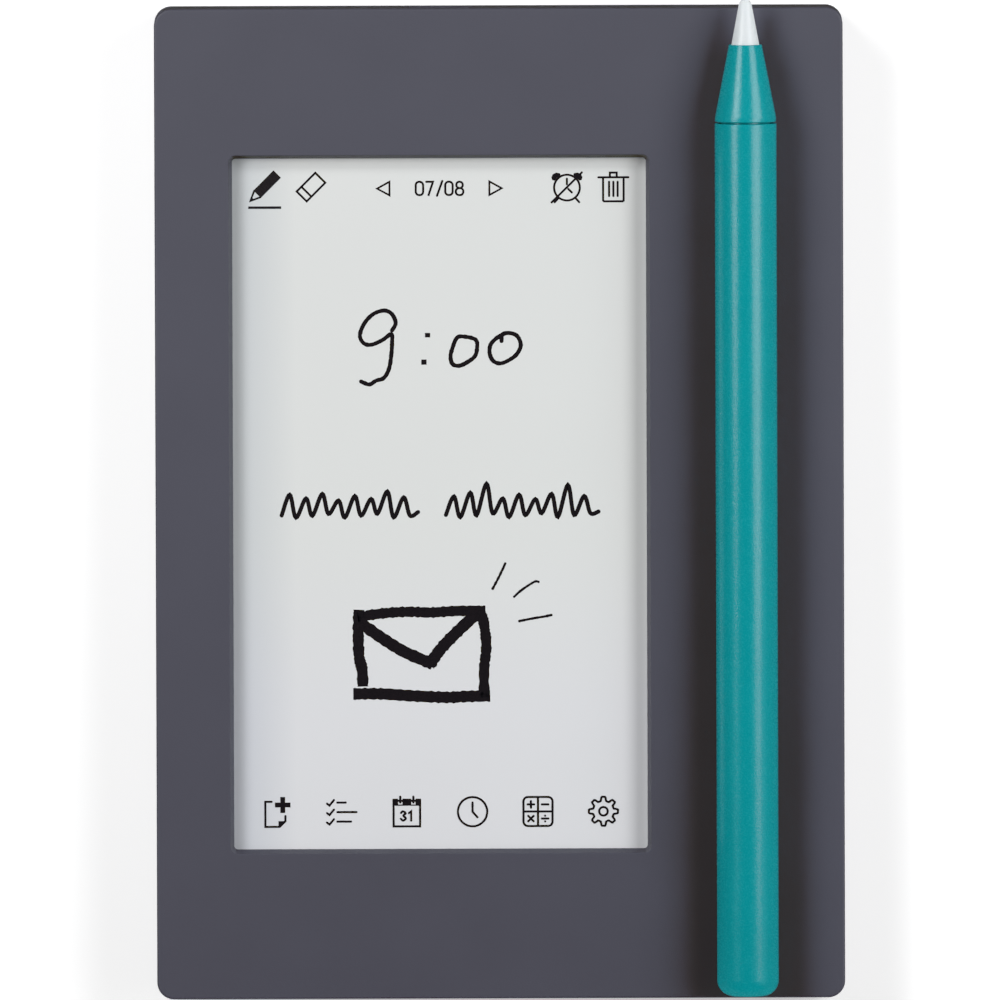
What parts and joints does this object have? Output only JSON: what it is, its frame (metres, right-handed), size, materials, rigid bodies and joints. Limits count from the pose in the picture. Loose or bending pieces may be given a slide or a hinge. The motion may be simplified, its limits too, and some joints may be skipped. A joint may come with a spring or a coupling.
{
  "type": "personal digital assistant",
  "caption": "Slim rounded handheld with a recessed electronic-paper screen and a magnetic teal stylus lying along its face.",
  "frame": {"origin": "on the surface it lies on, under the middle of the body and stylus together", "axes": "+Z out of the screen, +Y along the stylus towards its nib, +X to the right across the face"},
  "size_m": [0.093, 0.1354, 0.02],
  "materials": {
    "bezel_plastic": "fine matte moulded plastic, dark purple-grey",
    "cover_plastic": "fine matte moulded plastic, a little darker",
    "screen_film": "anti-glare etched film over pale electronic paper",
    "panel_glass": "glass and ink-capsule laminate, opaque",
    "foam": "black adhesive foam",
    "polyimide": "amber flexible circuit",
    "circuit_board": "green solder mask",
    "digitizer_mask": "blue-green solder mask with fine tracks",
    "chip_resin": "black moulded resin",
    "steel": "bright rolled steel",
    "nickel": "nickel plate",
    "copper": "enamelled copper winding",
    "brass": "turned and knurled",
    "magnesium": "die-cast, bead blasted",
    "battery_foil": "grey laminated pouch foil",
    "connector_resin": "cream moulded resin",
    "ceramic_parts": "fired chip components",
    "lead_red": "red wire sleeving",
    "lead_black": "black wire sleeving",
    "rubber": "matt moulded rubber",
    "stylus_paint": "satin pearl teal finish",
    "stylus_front": "satin pearl teal finish over plastic",
    "nib_plastic": "off-white acetal",
    "ferrite": "sintered ferrite",
    "screen_ink": "black image of the electronic paper, shown as a thin raised layer"
  },
  "bodies": {
    "root": {"front_bezel": "bezel_plastic", "rear_cover": "cover_plastic", "window_gasket": "foam", "screen_film": "screen_film", "epaper_panel": "panel_glass", "panel_flex": "polyimide", "digitizer_board": "digitizer_mask", "digitizer_flex": "polyimide", "digitizer_shield": "steel", "chassis_plate": "magnesium", "main_board": "circuit_board", "board_chips": "chip_resin", "board_passives": "ceramic_parts", "shield_can": "steel", "flex_connectors": "connector_resin", "usb_c_shell": "nickel", "usb_c_tongue": "chip_resin", "battery_pack": "battery_foil", "battery_protection_board": "circuit_board", "battery_leads": "lead_red", "battery_plug": "connector_resin", "battery_socket": "connector_resin", "battery_tape": "foam", "power_switch": "chip_resin", "reset_switch": "steel", "buzzer": "chip_resin", "buzzer_leads": "lead_black", "body_magnets": "nickel", "magnet_holders": "chip_resin", "rubber_feet": "rubber", "case_screws": "steel", "thread_inserts": "brass", "chassis_screws": "steel", "board_screws": "steel"},
    "power_button": {"power_button": "cover_plastic", "power_switch_plunger": "connector_resin"},
    "reset_button": {"reset_plunger": "chip_resin"},
    "nib": {"stylus_nib": "nib_plastic", "nib_socket": "chip_resin"},
    "stylus": {"stylus_barrel": "stylus_paint", "stylus_cone": "stylus_front", "ferrite_core": "ferrite", "pen_coil": "copper", "pressure_sensor": "steel", "stylus_frame": "chip_resin", "stylus_board": "circuit_board", "stylus_chips": "chip_resin", "stylus_magnets": "nickel"}
  },
  "joints": [
    {"name": "stylus_lift", "type": "slide", "parent": "root", "child": "stylus", "axis": [0, 0, 1], "range_m": [0, 0.03]},
    {"name": "nib_press", "type": "slide", "parent": "stylus", "child": "nib", "axis": [0, -1, 0], "range_m": [0, 0.0003], "stiffness_N_per_m": 4000, "springref_m": -0.0001},
    {"name": "power_button_press", "type": "slide", "parent": "root", "child": "power_button", "axis": [0, -1, 0], "range_m": [0, 0.0003], "stiffness_N_per_m": 5000, "springref_m": -0.0001},
    {"name": "reset_button_press", "type": "slide", "parent": "root", "child": "reset_button", "axis": [0, 0, 1], "range_m": [0, 0.00025], "stiffness_N_per_m": 6000, "springref_m": -0.0001}
  ]
}
